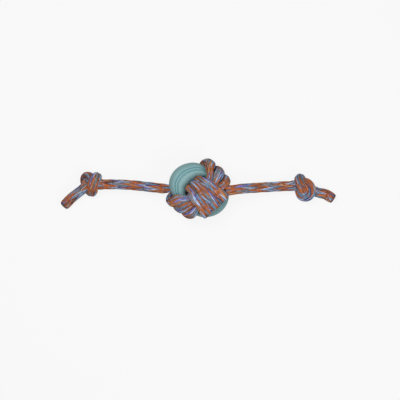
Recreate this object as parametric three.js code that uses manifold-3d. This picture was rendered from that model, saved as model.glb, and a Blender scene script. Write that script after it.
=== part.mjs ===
// Rope dog toy: one length of braided rope wound as a fist round a soft rubber ring,
// with a free arm, an overhand knot and a short sealed tail at each end.
// Millimetres, +Z up. The toy lies on the plane Z = 0, long way along X.
import * as THREE from 'three';
import Module from 'manifold-3d';
import { mergeVertices } from 'three/addons/utils/BufferGeometryUtils.js';

// Rope
const ROPE_DIAMETER = 13.6;
const ROPE_SIDES = 10;
const SEAT_GAP = 0.3;
const SEAT_REACH = 1.02 * ROPE_DIAMETER / 2 + SEAT_GAP;
const TURN_GAP = 0.8;
const SEAL_LENGTH = 2.6;
const SEAL_DIAMETER = 14;

// Rubber ring, free size and the size that the tight rope squeezes it to
const RING_LONG_OUTER = 45.3;
const RING_SHORT_OUTER = 36.2;
const RING_LONG_INNER = 22;
const RING_SHORT_INNER = 18.7;
const RING_HALF_HEIGHT = 12.8;
const RING_PINCH = 3.2;
const RING_PINCH_HEIGHT = 2;
const RING_STEPS = 60;
const GROOVE_DEPTH = 0.8;
const GROOVE_HALF_ANGLE = 5;
const GROOVE_ANGLES = [51, 79];

// How the fist lies
const LEFT_EXIT = [-48.2, 0.75, 27.1];
const RIGHT_EXIT = [48.2, -1.25, 43.2];
const FIST_CENTRE_X = 1.1;
const FIST_CENTRE_Y = -1.25;
const FIST_CENTRE_Z = 35.85;
const RING_HEADING = -30.5;
const RING_TILT = 16;
const WINDING_HEADING = -17.5;

// Winding that goes round the outside of the ring
const OUTER_TURNS = 3;
const OUTER_PITCH_AT_RING = 14.6;
const OUTER_PITCH_AT_MIDDLE = 9.2;
const OUTER_THICKNESS_AT_RING = 9.4;
const OUTER_THICKNESS_AT_MIDDLE = 11;
const BACK_PITCH_AT_MIDDLE = 7.05;
const NARROW_START = 19;
const LEAD_TAPER_START = 37;
const NARROW_END = 33;
const BUNDLE_LEAN = 2.8;
// Slack in the loops that stand off the ring, on its +Y side and its -Y side.
const UPPER_SLACK = 2.6;
const UPPER_MIDDLE_SLACK = 0.9;
const LOWER_SLACK = 2.4;
const INNER_EDGE_SHARE = 0.6;
const OUTER_FIRST_PART = 0.06;
const OUTER_LAST_PART = 2.84;
// The lead under the ring from the left arm, and the tuck of the last pass up
// into the ring's hole, in shares of the ring's long size, in the winding frame.
const LEAD_SHARES = [
  [-0.43, -0.50, -0.41],
  [-0.325, -0.37, -0.412],
  [-0.292, -0.25, -0.405],
];
const TUCK_SHARES = [
  [0.27, -0.40, -0.38],
  [0.235, -0.28, -0.27],
  [0.19, -0.20, -0.13],
];

// Winding that goes through the ring and over the first one
const INNER_PITCH_AT_CROWN = 13.9;
const INNER_PITCH_IN_HOLE = 8.4;
const INNER_THICKNESS_AT_CROWN = 10.6;
const INNER_THICKNESS_IN_HOLE = 6.4;
const LEG_REACH = 14.3;
const LEG_TUCK = 5.2;
const LEG_TURN = 0.1;
const SHOULDER_SPREAD = 3.7;
const SPREAD_LOW_SHARE = 0.2;
const OPEN_START = 0.38;
const OPEN_LATE = 0.98;
const OPEN_SOON = 0.79;
const TUCK_START = 0.2;
const TUCK_END = 0.44;
const INNER_FIRST_PART = 0;
const INNER_LAST_PART = 2.5;

const LOOP_STEPS = 30;
const LOOP_SIDES = 8;
const DOME_ANGLES = [80, 55, 28];

const RAD = Math.PI / 180;
const ROPE_RADIUS = ROPE_DIAMETER / 2;

const ropeMaterial = (color) => new THREE.MeshStandardMaterial({ color, roughness: 0.9, metalness: 0 });

const wasm = await Module();
wasm.setup();

function toSolid(geometry) {
  const bare = geometry.clone();
  bare.deleteAttribute('normal');
  bare.deleteAttribute('uv');
  const merged = mergeVertices(bare);
  const mesh = new wasm.Mesh({
    numProp: 3,
    vertProperties: new Float32Array(merged.attributes.position.array),
    triVerts: new Uint32Array(merged.index.array),
  });
  return new wasm.Manifold(mesh);
}

function toGeometry(solid) {
  const mesh = solid.getMesh();
  const geometry = new THREE.BufferGeometry();
  geometry.setAttribute('position', new THREE.BufferAttribute(new Float32Array(mesh.vertProperties), 3));
  geometry.setIndex(new THREE.BufferAttribute(new Uint32Array(mesh.triVerts), 1));
  geometry.computeVertexNormals();
  return geometry;
}

// Everything below the floor plane is taken off, which leaves a flat rest.
function restOnFloor(geometry) {
  const box = new THREE.BoxGeometry(4 * RING_LONG_OUTER, 4 * RING_LONG_OUTER, ROPE_DIAMETER);
  geometry.computeBoundingBox();
  const middle = geometry.boundingBox.getCenter(new THREE.Vector3());
  box.translate(middle.x, middle.y, -ROPE_DIAMETER / 2);
  return toGeometry(toSolid(geometry).subtract(toSolid(box)));
}

// Closed skin over a row of rings of points, each ring with as many points.
function skin(rings, closed) {
  const sides = rings[0].length;
  const points = rings.flat();
  const index = [];
  const bands = closed ? rings.length : rings.length - 1;
  for (let i = 0; i < bands; i += 1) {
    const here = i * sides;
    const next = ((i + 1) % rings.length) * sides;
    for (let j = 0; j < sides; j += 1) {
      const k = (j + 1) % sides;
      index.push(here + j, here + k, next + k, here + j, next + k, next + j);
    }
  }
  if (!closed) {
    for (const [ring, first] of [[0, true], [rings.length - 1, false]]) {
      const centre = new THREE.Vector3();
      rings[ring].forEach((point) => centre.addScaledVector(point, 1 / sides));
      const hub = points.push(centre) - 1;
      for (let j = 0; j < sides; j += 1) {
        const a = ring * sides + j;
        const b = ring * sides + ((j + 1) % sides);
        index.push(hub, first ? b : a, first ? a : b);
      }
    }
  }
  const geometry = new THREE.BufferGeometry().setFromPoints(points);
  geometry.setIndex(index);
  geometry.computeVertexNormals();
  return geometry;
}

// Rings of points along a path. Each station has a place, an across direction
// and the rope's width and thickness there, because tight rope goes oval.
function ringsAlong(stations, sides) {
  const swell = 0.5 / Math.cos(Math.PI / sides);
  return stations.map((station, i) => {
    const before = stations[Math.max(i - 1, 0)].place;
    const after = stations[Math.min(i + 1, stations.length - 1)].place;
    const along = after.clone().sub(before).normalize();
    const up = along.clone().cross(station.across).normalize();
    const side = up.clone().cross(along).normalize();
    const ring = [];
    for (let j = 0; j < sides; j += 1) {
      const angle = (2 * Math.PI * (j + 0.5)) / sides;
      ring.push(station.place.clone()
        .addScaledVector(side, swell * station.width * Math.cos(angle))
        .addScaledVector(up, swell * station.thickness * Math.sin(angle)));
    }
    return ring;
  });
}

// Even steps along a fine row of stations.
function evenStations(fine, count) {
  const length = [0];
  for (let i = 1; i < fine.length; i += 1) {
    length.push(length[i - 1] + fine[i].place.distanceTo(fine[i - 1].place));
  }
  const total = length[length.length - 1];
  const out = [];
  let i = 1;
  for (let n = 0; n <= count; n += 1) {
    const want = (total * n) / count;
    while (i < fine.length - 1 && length[i] < want) i += 1;
    const part = (want - length[i - 1]) / (length[i] - length[i - 1]);
    const a = fine[i - 1];
    const b = fine[i];
    out.push({
      place: a.place.clone().lerp(b.place, part),
      across: a.across.clone().lerp(b.across, part).normalize(),
      width: a.width + (b.width - a.width) * part,
      thickness: a.thickness + (b.thickness - a.thickness) * part,
    });
  }
  return out;
}

// Least gap of a wound tube to itself, measured between the points of rings
// that lie more than half a loop apart.
function leastGap(rings, apart) {
  let least = Infinity;
  for (let i = 0; i < rings.length; i += 1) {
    for (let j = i + apart; j < rings.length; j += 1) {
      for (const a of rings[i]) {
        for (const b of rings[j]) least = Math.min(least, a.distanceTo(b));
      }
    }
  }
  return least;
}

const smooth = (x) => x * x * (3 - 2 * x);
const blend = (a, b, part) => a + (b - a) * part;

// The ring frame: X along its long way, Z its own axis, tilted on the floor.
const ringFrame = new THREE.Matrix4()
  .makeTranslation(FIST_CENTRE_X, FIST_CENTRE_Y, FIST_CENTRE_Z)
  .multiply(new THREE.Matrix4().makeRotationZ(RING_HEADING * RAD))
  .multiply(new THREE.Matrix4().makeRotationY(RING_TILT * RAD));
const windingFrame = ringFrame.clone()
  .multiply(new THREE.Matrix4().makeRotationZ(WINDING_HEADING * RAD));

// Outer edge, inner edge and half height of the squeezed ring at an angle about its axis.
function ringSection(angle) {
  const oval = (long, short) => 1 / Math.hypot(Math.cos(angle) / long, Math.sin(angle) / short);
  const toWrap = Math.abs(Math.sin(angle - WINDING_HEADING * RAD));
  const pinch = smooth(Math.max(0, 2 * toWrap - 1));
  return {
    outer: oval(RING_LONG_OUTER, RING_SHORT_OUTER) - RING_PINCH * pinch,
    inner: oval(RING_LONG_INNER, RING_SHORT_INNER),
    half: RING_HALF_HEIGHT - RING_PINCH_HEIGHT * pinch,
  };
}

// Angles round the ring's section, closer together at the grooves.
function sectionAngles() {
  const marks = [];
  for (let angle = 0; angle < 360; angle += 20) {
    const folded = angle > 180 ? 360 - angle : angle;
    const near = GROOVE_ANGLES.some((groove) => Math.abs(groove - folded) < 2 * GROOVE_HALF_ANGLE);
    if (!near) marks.push([angle, 0]);
  }
  for (const groove of GROOVE_ANGLES) {
    for (const middle of [groove, 360 - groove]) {
      marks.push([middle - GROOVE_HALF_ANGLE, 0]);
      marks.push([middle, GROOVE_DEPTH]);
      marks.push([middle + GROOVE_HALF_ANGLE, 0]);
    }
  }
  return marks.sort((a, b) => b[0] - a[0]);
}

function rubberRing() {
  const marks = sectionAngles();
  const rings = [];
  for (let i = 0; i < RING_STEPS; i += 1) {
    const angle = (2 * Math.PI * i) / RING_STEPS;
    const { outer, inner, half } = ringSection(angle);
    const middle = (outer + inner) / 2;
    const reach = (outer - inner) / 2;
    rings.push(marks.map(([mark, depth]) => {
      const out = middle + (reach - depth) * Math.cos(mark * RAD);
      const up = (half - depth) * Math.sin(mark * RAD);
      return new THREE.Vector3(out * Math.cos(angle), out * Math.sin(angle), up);
    }));
  }
  return skin(rings, true).applyMatrix4(ringFrame);
}

// The ring as a lane of the outer winding meets it, on the side that faces Y
// times side: where its tube starts and ends along the lane, and how high it is.
function crossing(x, side) {
  const find = (edge) => {
    let y = RING_SHORT_OUTER;
    for (let i = 0; i < 12; i += 1) {
      const section = ringSection(Math.atan2(side * y, x) + WINDING_HEADING * RAD);
      y = Math.sqrt(Math.max(0, section[edge] ** 2 - x * x));
    }
    return y;
  };
  const outer = find('outer');
  const inner = Math.min(find('inner'), outer * INNER_EDGE_SHARE);
  const { half } = ringSection(Math.atan2(side * outer, x) + WINDING_HEADING * RAD);
  return { middle: (outer + inner) / 2, reach: (outer - inner) / 2, half };
}

const WRAP_OFFSET = SEAT_GAP * 2.7 + OUTER_THICKNESS_AT_RING / 2;
const WRAP_RISE = RING_HALF_HEIGHT - RING_PINCH_HEIGHT + 6.5 * SEAT_GAP + OUTER_THICKNESS_AT_MIDDLE / 2;

// How far the outer winding is into its narrow middle, 0 at the ring and 1 there.
const share = (x) => Math.min(1, Math.max(0, x));
const inMiddle = (y) => smooth(share((NARROW_END - Math.abs(y)) / (NARROW_END - NARROW_START)));

// A place on a lane of the outer winding. Within runs from -0.5 at the back
// middle over the +Y side of the ring, the front middle at 0 and the -Y side.
// The lanes are kept over the front; each step to the next is made at the back.
function lanePlace(lane, within) {
  const front = Math.abs(within) < 0.25;
  const side = within < 0 ? 1 : -1;
  const edge = crossing(lane * OUTER_PITCH_AT_RING, side);
  const straight = edge.middle;
  const arc = (Math.PI / 2) * ((edge.reach + edge.half) / 2 + WRAP_OFFSET);
  const first = Math.max(0, -lane);
  const last = Math.max(0, lane);
  const slack = side > 0
    ? UPPER_MIDDLE_SLACK * Math.max(0, 1 - last) + UPPER_SLACK * first
    : LOWER_SLACK * first;
  const along = Math.abs(within) * 2 * (2 * straight + 2 * arc);
  let y = 0;
  let z = 0;
  if (along < straight) {
    y = along;
    z = WRAP_RISE;
  } else if (along < straight + 2 * arc) {
    const angle = Math.PI / 2 - ((along - straight) / arc) * (Math.PI / 2);
    y = straight + (edge.reach + WRAP_OFFSET + slack) * Math.cos(angle);
    z = WRAP_RISE * Math.sin(angle);
  } else {
    y = 2 * straight + 2 * arc - along;
    z = -WRAP_RISE;
  }
  const narrow = inMiddle(y);
  const pitch = blend(OUTER_PITCH_AT_RING, front ? OUTER_PITCH_AT_MIDDLE : BACK_PITCH_AT_MIDDLE, narrow);
  const step = front ? 0 : 0.5 * Math.sign(within) * narrow;
  const lean = BUNDLE_LEAN * narrow * (z / WRAP_RISE);
  const place = new THREE.Vector3((lane + step) * pitch + lean, side * y, z);
  return { place, pitch, narrow };
}

// Part of the outer winding: whole turns start at the back middle.
function outerPlace(part) {
  const turn = Math.round(part - 0.5) + 0.5;
  const lane = turn - OUTER_TURNS / 2;
  const { place, pitch, narrow } = lanePlace(lane, part - turn);
  const inner = lanePlace(lane - 0.2, part - turn).place;
  const outer = lanePlace(lane + 0.2, part - turn).place;
  return {
    place,
    across: outer.sub(inner).normalize(),
    width: pitch - TURN_GAP,
    thickness: blend(OUTER_THICKNESS_AT_RING, OUTER_THICKNESS_AT_MIDDLE, narrow),
  };
}

// Where lanes run askew, the rope is narrower by the slope of its run.
function narrowed(stations) {
  return stations.map((station, i) => {
    const before = stations[Math.max(i - 1, 0)].place;
    const after = stations[Math.min(i + 1, stations.length - 1)].place;
    const along = after.clone().sub(before).normalize();
    const slope = Math.sqrt(1 - along.dot(station.across) ** 2);
    return { ...station, width: (station.width + TURN_GAP) * slope - TURN_GAP };
  });
}

function outerWinding() {
  const sized = (shares) => new THREE.Vector3(...shares).multiplyScalar(RING_LONG_OUTER);
  const loops = [];
  for (let part = OUTER_FIRST_PART; part <= OUTER_LAST_PART; part += 0.005) loops.push(outerPlace(part));
  const fine = [];
  const first = loops[0];
  const toWinding = windingFrame.clone().invert();
  const face = new THREE.Vector3(...LEFT_EXIT).add(new THREE.Vector3(SEAT_REACH, 0, 0));
  const inside = face.clone().add(new THREE.Vector3(ROPE_DIAMETER * 0.3, 0, 0));
  const leadPoints = [face.applyMatrix4(toWinding), inside.applyMatrix4(toWinding), ...LEAD_SHARES.map(sized)];
  const lead = [...leadPoints, first.place, loops[8].place];
  const leadCurve = new THREE.CatmullRomCurve3(lead, false, 'centripetal');
  const leadSteps = 80;
  for (let i = 0; i < leadSteps; i += 1) {
    const u = (i / leadSteps) * (leadPoints.length / (leadPoints.length + 1));
    const place = leadCurve.getPoint(u);
    const grow = smooth(share((LEAD_TAPER_START + place.y) / (LEAD_TAPER_START - NARROW_START)));
    fine.push({
      place,
      across: new THREE.Vector3(1, 0, 0),
      width: blend(ROPE_DIAMETER, first.width, grow),
      thickness: blend(ROPE_DIAMETER, first.thickness, grow),
    });
  }
  fine.push(...narrowed(loops));
  const tail = loops[loops.length - 1];
  const before = loops[loops.length - 9];
  const tuck = [before.place, tail.place, ...TUCK_SHARES.map(sized)];
  const tuckCurve = new THREE.CatmullRomCurve3(tuck, false, 'centripetal');
  const tuckSteps = 40;
  const tuckStart = 1 / (TUCK_SHARES.length + 1);
  for (let i = 1; i <= tuckSteps; i += 1) {
    const grow = smooth(i / tuckSteps);
    fine.push({
      place: tuckCurve.getPoint(blend(tuckStart, 1, i / tuckSteps)),
      across: new THREE.Vector3(1, 0, 0).lerp(new THREE.Vector3(0, 1, 0), grow).normalize(),
      width: blend(tail.width, INNER_PITCH_IN_HOLE - TURN_GAP, grow),
      thickness: blend(tail.thickness, INNER_THICKNESS_IN_HOLE, grow),
    });
  }
  const stations = evenStations(fine, 3 * LOOP_STEPS + 18);
  return ringsAlong(stations, LOOP_SIDES);
}

// One pass of the inner winding in the winding frame: X along the pass, Z up.
// A quarter of it, from the leg in the hole to the crown, is given by named
// places, for whichever shoulder it goes over.
const BUNDLE_HALF = 1.57 * OUTER_PITCH_AT_MIDDLE;
const BUNDLE_TOP = WRAP_RISE + OUTER_THICKNESS_AT_MIDDLE / 2;
const CROWN_RISE = BUNDLE_TOP + SEAT_GAP * 3 + INNER_THICKNESS_AT_CROWN / 2;
const SHOULDER = BUNDLE_HALF + 8.8 * SEAT_GAP + INNER_THICKNESS_IN_HOLE / 2;
const LEAN = BUNDLE_LEAN / WRAP_RISE;
const quarterOut = (spread) => [
  [LEG_REACH, 0],
  [blend(LEG_REACH, SHOULDER, 0.1), 0.17 * CROWN_RISE],
  [blend(LEG_REACH, SHOULDER, 0.3), 0.286 * CROWN_RISE],
  [blend(LEG_REACH, SHOULDER, 0.71), 0.41 * CROWN_RISE],
  [SHOULDER + SPREAD_LOW_SHARE * spread, 0.54 * CROWN_RISE],
  [SHOULDER + spread, 0.76 * CROWN_RISE],
  [0.89 * (SHOULDER + spread), 0.93 * CROWN_RISE],
  [0.5 * (SHOULDER + spread), CROWN_RISE],
  [0, CROWN_RISE],
];

// The loop is wider on the side that the bundle leans to, and the back of it
// is the front turned half round in its own plane.
const innerLoop = (() => {
  const wide = quarterOut(SHOULDER_SPREAD);
  const near = quarterOut(0).slice(0, -1).reverse();
  const half = [...wide, ...near.slice(0, -1).map(([x, z]) => [-x, z])];
  const round = [...half, ...half.map(([x, z]) => [-x, -z])];
  const points = round.map(([x, z]) => new THREE.Vector3(x, 0, z));
  return new THREE.CatmullRomCurve3(points, true, 'centripetal');
})();

// Lane of the inner winding: kept over the front, stepped across the back.
function innerLane(part) {
  const turn = Math.floor(part);
  const within = part - turn;
  const lane = turn - 1;
  if (within < 0.5) return lane;
  return lane + smooth((within - 0.5) * 2);
}

// The bundle leans, so the turns open out soon on the side it leans to, and
// late on the side where they come up against the ring.
function innerStation(part) {
  const place = innerLoop.getPointAt(part - Math.floor(part));
  const rise = Math.min(1, Math.abs(place.z) / CROWN_RISE);
  const side = Math.max(-1, Math.min(1, (place.x / SHOULDER) * Math.sign(place.z)));
  const from = (start, end) => smooth(share((rise - start) / (end - start)));
  const open = from(OPEN_START, blend(OPEN_LATE, OPEN_SOON, (1 + side) / 2));
  const lane = innerLane(part);
  const pitch = blend(INNER_PITCH_IN_HOLE, INNER_PITCH_AT_CROWN, open);
  const tuck = LEG_TUCK * lane * lane * (1 - from(TUCK_START, TUCK_END));
  place.x -= Math.sign(place.x) * Math.min(Math.abs(place.x), tuck);
  place.x += LEAN * place.z;
  place.y = lane * pitch + LEG_TURN * place.x * (1 - open);
  return {
    place,
    across: new THREE.Vector3(0, 1, 0),
    width: pitch - TURN_GAP,
    thickness: blend(INNER_THICKNESS_IN_HOLE, INNER_THICKNESS_AT_CROWN, open),
  };
}

function innerWinding() {
  const fine = [];
  for (let part = INNER_FIRST_PART; part <= INNER_LAST_PART; part += 0.004) fine.push(innerStation(part));
  const stations = evenStations(narrowed(fine), Math.round(2.5 * LOOP_STEPS));
  return ringsAlong(stations, LOOP_SIDES);
}

// Overhand knots. Each route runs from the neck to the outlet, in shares of the
// size of the knot, off its centre, and the rope in it is a share of that size.
const KNOT_STEPS = 64;
const KNOTTED_SHARE = 0.865;
const KNOT_TAPER_SHARE = 0.055;

const LEFT_KNOT = {
  centre: [-149.2, 7.95, 16.9],
  size: 10.8,
  neck: [-129.8, 6.65, 22.2],
  outlet: [-169.7, -5.65, 15.2],
  routeShares: [
    [1.02, -0.10, 0.46],
    [0.45, 0.09, 0.43],
    [-0.10, 0.55, 0.31],
    [-0.60, 0.95, -0.10],
    [-0.98, 0.70, -0.65],
    [-0.95, 0, -1.10],
    [-0.65, -0.75, -1.19],
    [-0.30, -1.20, -0.78],
    [0, -1.30, -0.13],
    [0.10, -1.00, 0.52],
    [0.15, -0.60, 1.10],
    [0.30, -0.03, 1.40],
    [0.50, 0.57, 1.28],
    [0.65, 0.95, 0.75],
    [0.75, 1.00, 0.05],
    [0.60, 0.60, -0.45],
    [0.10, 0, -0.54],
    [-0.45, -0.30, -0.31],
  ],
  leavingShare: [-0.95, -0.54, -0.12],
};
const RIGHT_KNOT = {
  centre: [149.2, 3.25, 16],
  size: 10.6,
  neck: [129.3, 4.3, 14.2],
  outlet: [168.6, -4.75, 12],
  routeShares: [
    [-1.02, 0.32, -0.33],
    [-0.45, 0.40, -0.18],
    [0.15, 0.60, 0.12],
    [0.65, 0.30, 0.50],
    [0.98, -0.30, 0.72],
    [0.92, -0.98, 0.60],
    [0.35, -1.38, 0.35],
    [-0.34, -1.25, -0.02],
    [-0.65, -0.72, -0.50],
    [-0.55, -0.10, -1.10],
    [-0.50, 0.50, -1.14],
    [-0.58, 1.08, -0.85],
    [-0.70, 1.37, -0.30],
    [-0.80, 1.15, 0.35],
    [-0.68, 0.60, 0.75],
    [-0.36, 0, 0.72],
    [-0.05, -0.42, 0.35],
    [0.45, -0.45, -0.05],
  ],
  leavingShare: [0.98, -0.44, -0.26],
};

// Stations of a round tube through hand-placed points.
function roundStations(points, diameters, count) {
  const curve = new THREE.CatmullRomCurve3(points, false, 'centripetal');
  const frames = curve.computeFrenetFrames(count, false);
  const stations = [];
  for (let i = 0; i <= count; i += 1) {
    const u = i / count;
    const size = diameters(u);
    stations.push({ place: curve.getPointAt(u), across: frames.normals[i], width: size, thickness: size });
  }
  return stations;
}

// A dome of rope radius added before the first station, centred on it.
function withDome(rings, centre, towards) {
  const dome = [];
  for (const lift of DOME_ANGLES) {
    const back = Math.sin(lift * RAD);
    const shrink = Math.cos(lift * RAD);
    dome.push(rings[0].map((point) => centre.clone()
      .add(point.clone().sub(centre).multiplyScalar(shrink))
      .addScaledVector(towards, -ROPE_RADIUS * back)));
  }
  return [...dome, ...rings];
}

function knot(spec) {
  const { size } = spec;
  const centre = new THREE.Vector3(...spec.centre);
  const at = (share) => new THREE.Vector3(...share).multiplyScalar(size).add(centre);
  const neck = new THREE.Vector3(...spec.neck);
  const outlet = new THREE.Vector3(...spec.outlet);
  const leaving = outlet.clone().sub(at(spec.leavingShare)).normalize();
  const face = outlet.clone().addScaledVector(leaving, -SEAT_REACH);
  const beforeFace = face.clone().addScaledVector(leaving, -0.3 * ROPE_DIAMETER);
  const points = [neck, ...spec.routeShares.map(at), beforeFace, face];
  const knotted = KNOTTED_SHARE * size;
  const tightened = (u) => smooth(share(Math.min(u, 1 - u) / KNOT_TAPER_SHARE));
  const diameters = (u) => blend(ROPE_DIAMETER, knotted, tightened(u));
  const stations = roundStations(points, diameters, KNOT_STEPS);
  const rings = ringsAlong(stations, ROPE_SIDES);
  const towards = stations[1].place.clone().sub(neck).normalize();
  return { rings: withDome(rings, neck, towards), core: rings };
}

// Routes of the free arms, from the fist outwards, chosen by eye.
const LEFT_ARM_ROUTE = [
  LEFT_EXIT,
  [-67.5, 2.85, 26.2],
  [-88.5, 5.15, 24.6],
  [-109.5, 6.55, 23],
  [-122.5, 6.75, 22.4],
];
const RIGHT_ARM_ROUTE = [
  RIGHT_EXIT,
  [60.5, 0.45, 39.2],
  [79.5, 1.75, 31.5],
  [100.5, 3.05, 22.8],
  [122.1, 4.2, 15.6],
];
const LEFT_TAIL_ROUTE = [
  LEFT_KNOT.outlet,
  [-178.3, -12.45, 11.2],
  [-187.1, -21.05, 7.2],
];
const RIGHT_TAIL_ROUTE = [
  RIGHT_KNOT.outlet,
  [179.3, -7.15, 9.2],
  [187.9, -12.1, 7.2],
];

// A round rope stretch: a dome at its inner end, where it flexes, and a flat outer end.
function stretch(route, steps) {
  const points = route.map((point) => new THREE.Vector3(...point));
  const stations = roundStations(points, () => ROPE_DIAMETER, steps);
  const rings = ringsAlong(stations, ROPE_SIDES);
  const towards = stations[1].place.clone().sub(points[0]).normalize();
  const end = stations[steps].place;
  const along = end.clone().sub(stations[steps - 1].place).normalize();
  return { rings: withDome(rings, points[0], towards), end, along };
}

// The heat-sealed end of a tail, a short disc past the rope's cut face.
function seal({ end, along }) {
  const disc = new THREE.CylinderGeometry(0.47 * SEAL_DIAMETER, 0.5 * SEAL_DIAMETER, SEAL_LENGTH, 16);
  const turn = new THREE.Quaternion().setFromUnitVectors(new THREE.Vector3(0, 1, 0), along);
  disc.applyQuaternion(turn);
  const middle = end.clone().addScaledVector(along, SEAT_GAP + SEAL_LENGTH / 2);
  return disc.translate(middle.x, middle.y, middle.z);
}

const toy = new THREE.Group();
function add(name, geometry, material) {
  const mesh = new THREE.Mesh(geometry, material);
  mesh.name = name;
  toy.add(mesh);
  return mesh;
}

const teal = new THREE.MeshStandardMaterial({ color: 0x7fa9a6, roughness: 0.6, metalness: 0 });
add('ring', rubberRing(), teal);

const outerRings = outerWinding();
console.log('least gap of the outer winding to itself', leastGap(outerRings, LOOP_STEPS / 2).toFixed(2));
const outerSkin = skin(outerRings, false).applyMatrix4(windingFrame);
add('winding_round_ring', restOnFloor(outerSkin), ropeMaterial(0xb5652f));

const innerRings = innerWinding();
console.log('least gap of the inner winding to itself', leastGap(innerRings, LOOP_STEPS / 2).toFixed(2));
const innerSkin = skin(innerRings, false).applyMatrix4(windingFrame);
add('winding_through_ring', restOnFloor(innerSkin), ropeMaterial(0x8fb0d0));

const leftKnot = knot(LEFT_KNOT);
console.log('least gap of the left knot to itself', leastGap(leftKnot.core, 12).toFixed(2));
const rightKnot = knot(RIGHT_KNOT);
console.log('least gap of the right knot to itself', leastGap(rightKnot.core, 12).toFixed(2));

add('left_arm', skin(stretch(LEFT_ARM_ROUTE, 8).rings, false), ropeMaterial(0xa08f9c));
add('right_arm', skin(stretch(RIGHT_ARM_ROUTE, 8).rings, false), ropeMaterial(0xa08f9c));
add('left_knot', restOnFloor(skin(leftKnot.rings, false)), ropeMaterial(0x9c5a3a));
add('right_knot', restOnFloor(skin(rightKnot.rings, false)), ropeMaterial(0x9c5a3a));
const leftTail = stretch(LEFT_TAIL_ROUTE, 4);
const rightTail = stretch(RIGHT_TAIL_ROUTE, 4);
add('left_tail', skin(leftTail.rings, false), ropeMaterial(0xa08f9c));
add('right_tail', skin(rightTail.rings, false), ropeMaterial(0xa08f9c));
add('left_tail_seal', restOnFloor(seal(leftTail)), ropeMaterial(0x2c2226));
add('right_tail_seal', restOnFloor(seal(rightTail)), ropeMaterial(0x2c2226));

export default toy;
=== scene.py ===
"""Looks of the rope dog toy: braided rope wound as a fist round a soft rubber ring,
with a free arm, an overhand knot and a sealed tail at each end."""

import math

import bmesh
import bpy
import numpy as np
from mathutils import Matrix, Vector


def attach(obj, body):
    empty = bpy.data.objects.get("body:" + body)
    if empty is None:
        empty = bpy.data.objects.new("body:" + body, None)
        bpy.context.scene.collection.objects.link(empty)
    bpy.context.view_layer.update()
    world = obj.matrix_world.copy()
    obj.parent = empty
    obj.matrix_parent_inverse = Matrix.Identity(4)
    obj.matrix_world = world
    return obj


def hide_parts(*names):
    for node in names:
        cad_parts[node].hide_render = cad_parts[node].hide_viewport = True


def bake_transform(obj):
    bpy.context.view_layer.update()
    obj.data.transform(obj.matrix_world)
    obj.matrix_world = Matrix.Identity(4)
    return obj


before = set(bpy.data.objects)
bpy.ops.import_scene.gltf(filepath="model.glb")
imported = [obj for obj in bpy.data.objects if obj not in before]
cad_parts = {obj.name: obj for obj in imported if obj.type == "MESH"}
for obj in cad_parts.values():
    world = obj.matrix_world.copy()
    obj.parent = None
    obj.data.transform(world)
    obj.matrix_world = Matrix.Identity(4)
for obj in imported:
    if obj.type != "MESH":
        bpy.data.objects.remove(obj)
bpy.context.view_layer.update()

MM = 0.001

# Sizes and routes, in millimetres.

ROPE = 13.6
SEAT_GAP = 0.3
# From the middle of a rope's domed end to the face of its neighbour.
DOME_SHARE = 1.02
SEAT_REACH = DOME_SHARE * ROPE / 2 + SEAT_GAP
# How far the rope runs straight on past such a face.
LEAD_RUN = 0.3 * ROPE

# The ring, squeezed oval and pinched where the rope crosses it.
RING_LONG_OUTER = 45.3
RING_SHORT_OUTER = 36.2
RING_LONG_INNER = 22.0
RING_SHORT_INNER = 18.7
RING_HALF_HEIGHT = 12.8
RING_PINCH = 3.2
RING_PINCH_HEIGHT = 2.0

# Where the fist lies, how it is turned, and where each arm leaves it.
FIST_CENTRE = (1.1, -1.25, 35.85)
RING_HEADING = math.radians(-30.5)
RING_TILT = math.radians(16.0)
WINDING_HEADING = math.radians(-17.5)
LEFT_EXIT = (-48.2, 0.75, 27.1)
RIGHT_EXIT = (48.2, -1.25, 43.2)

# The winding round the ring: three lanes side by side, narrower at the middle of the fist.
# Its start, end and steps are in turns, and the shares are of the ring's long half width.
OUTER_TURNS = 3
OUTER_START, OUTER_END, OUTER_STEP = 0.06, 2.8401, 0.01
OUTER_PITCH_AT_RING = 14.6
OUTER_PITCH_AT_MIDDLE = 9.2
OUTER_THICKNESS_AT_RING = 9.4
OUTER_THICKNESS_AT_MIDDLE = 11.0
BACK_PITCH_AT_MIDDLE = 7.05
NARROW_START = 19.0
LEAD_TAPER_START = 37.0
NARROW_END = 33.0
BUNDLE_LEAN = 2.8
BUNDLE_SHARE = 1.57
# Clearances, in seat gaps.
WRAP_GAPS = 2.7
RISE_GAPS = 6.5
CROWN_GAPS = 3
SHOULDER_GAPS = 8.8
# How much farther off the ring's edge the looser loops stand.
UPPER_SLACK = 0.8
UPPER_MIDDLE_SLACK = 0.9
LOWER_SLACK = 2.4
INNER_EDGE_SHARE = 0.6
LEAD_SHARES = [(-0.43, -0.50, -0.41), (-0.325, -0.37, -0.412), (-0.292, -0.25, -0.405)]
TUCK_SHARES = [(0.27, -0.40, -0.38), (0.235, -0.28, -0.27), (0.19, -0.20, -0.13)]

# The winding through the ring: wide passes over the crown, narrow ones in the hole.
# It opens and tucks by shares of the crown's height.
INNER_PITCH_AT_CROWN = 13.9
INNER_PITCH_IN_HOLE = 8.4
INNER_THICKNESS_AT_CROWN = 10.6
INNER_THICKNESS_IN_HOLE = 6.4
LEG_REACH = 14.3
LEG_TUCK = 5.2
LEG_TURN = 0.1
SHOULDER_SPREAD = 3.7
SPREAD_LOW_SHARE = 0.2
INNER_END, INNER_STEP = 2.5001, 0.006
OPEN_START = 0.38
OPEN_LATE = 0.98
OPEN_SOON = 0.79
TUCK_START = 0.2
TUCK_END = 0.44

# Turns of tight rope press together: what is left between neighbours.
TOUCH = -0.8
# The free rope's strands stand this much proud of its size.
PROUD = 0.4
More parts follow.
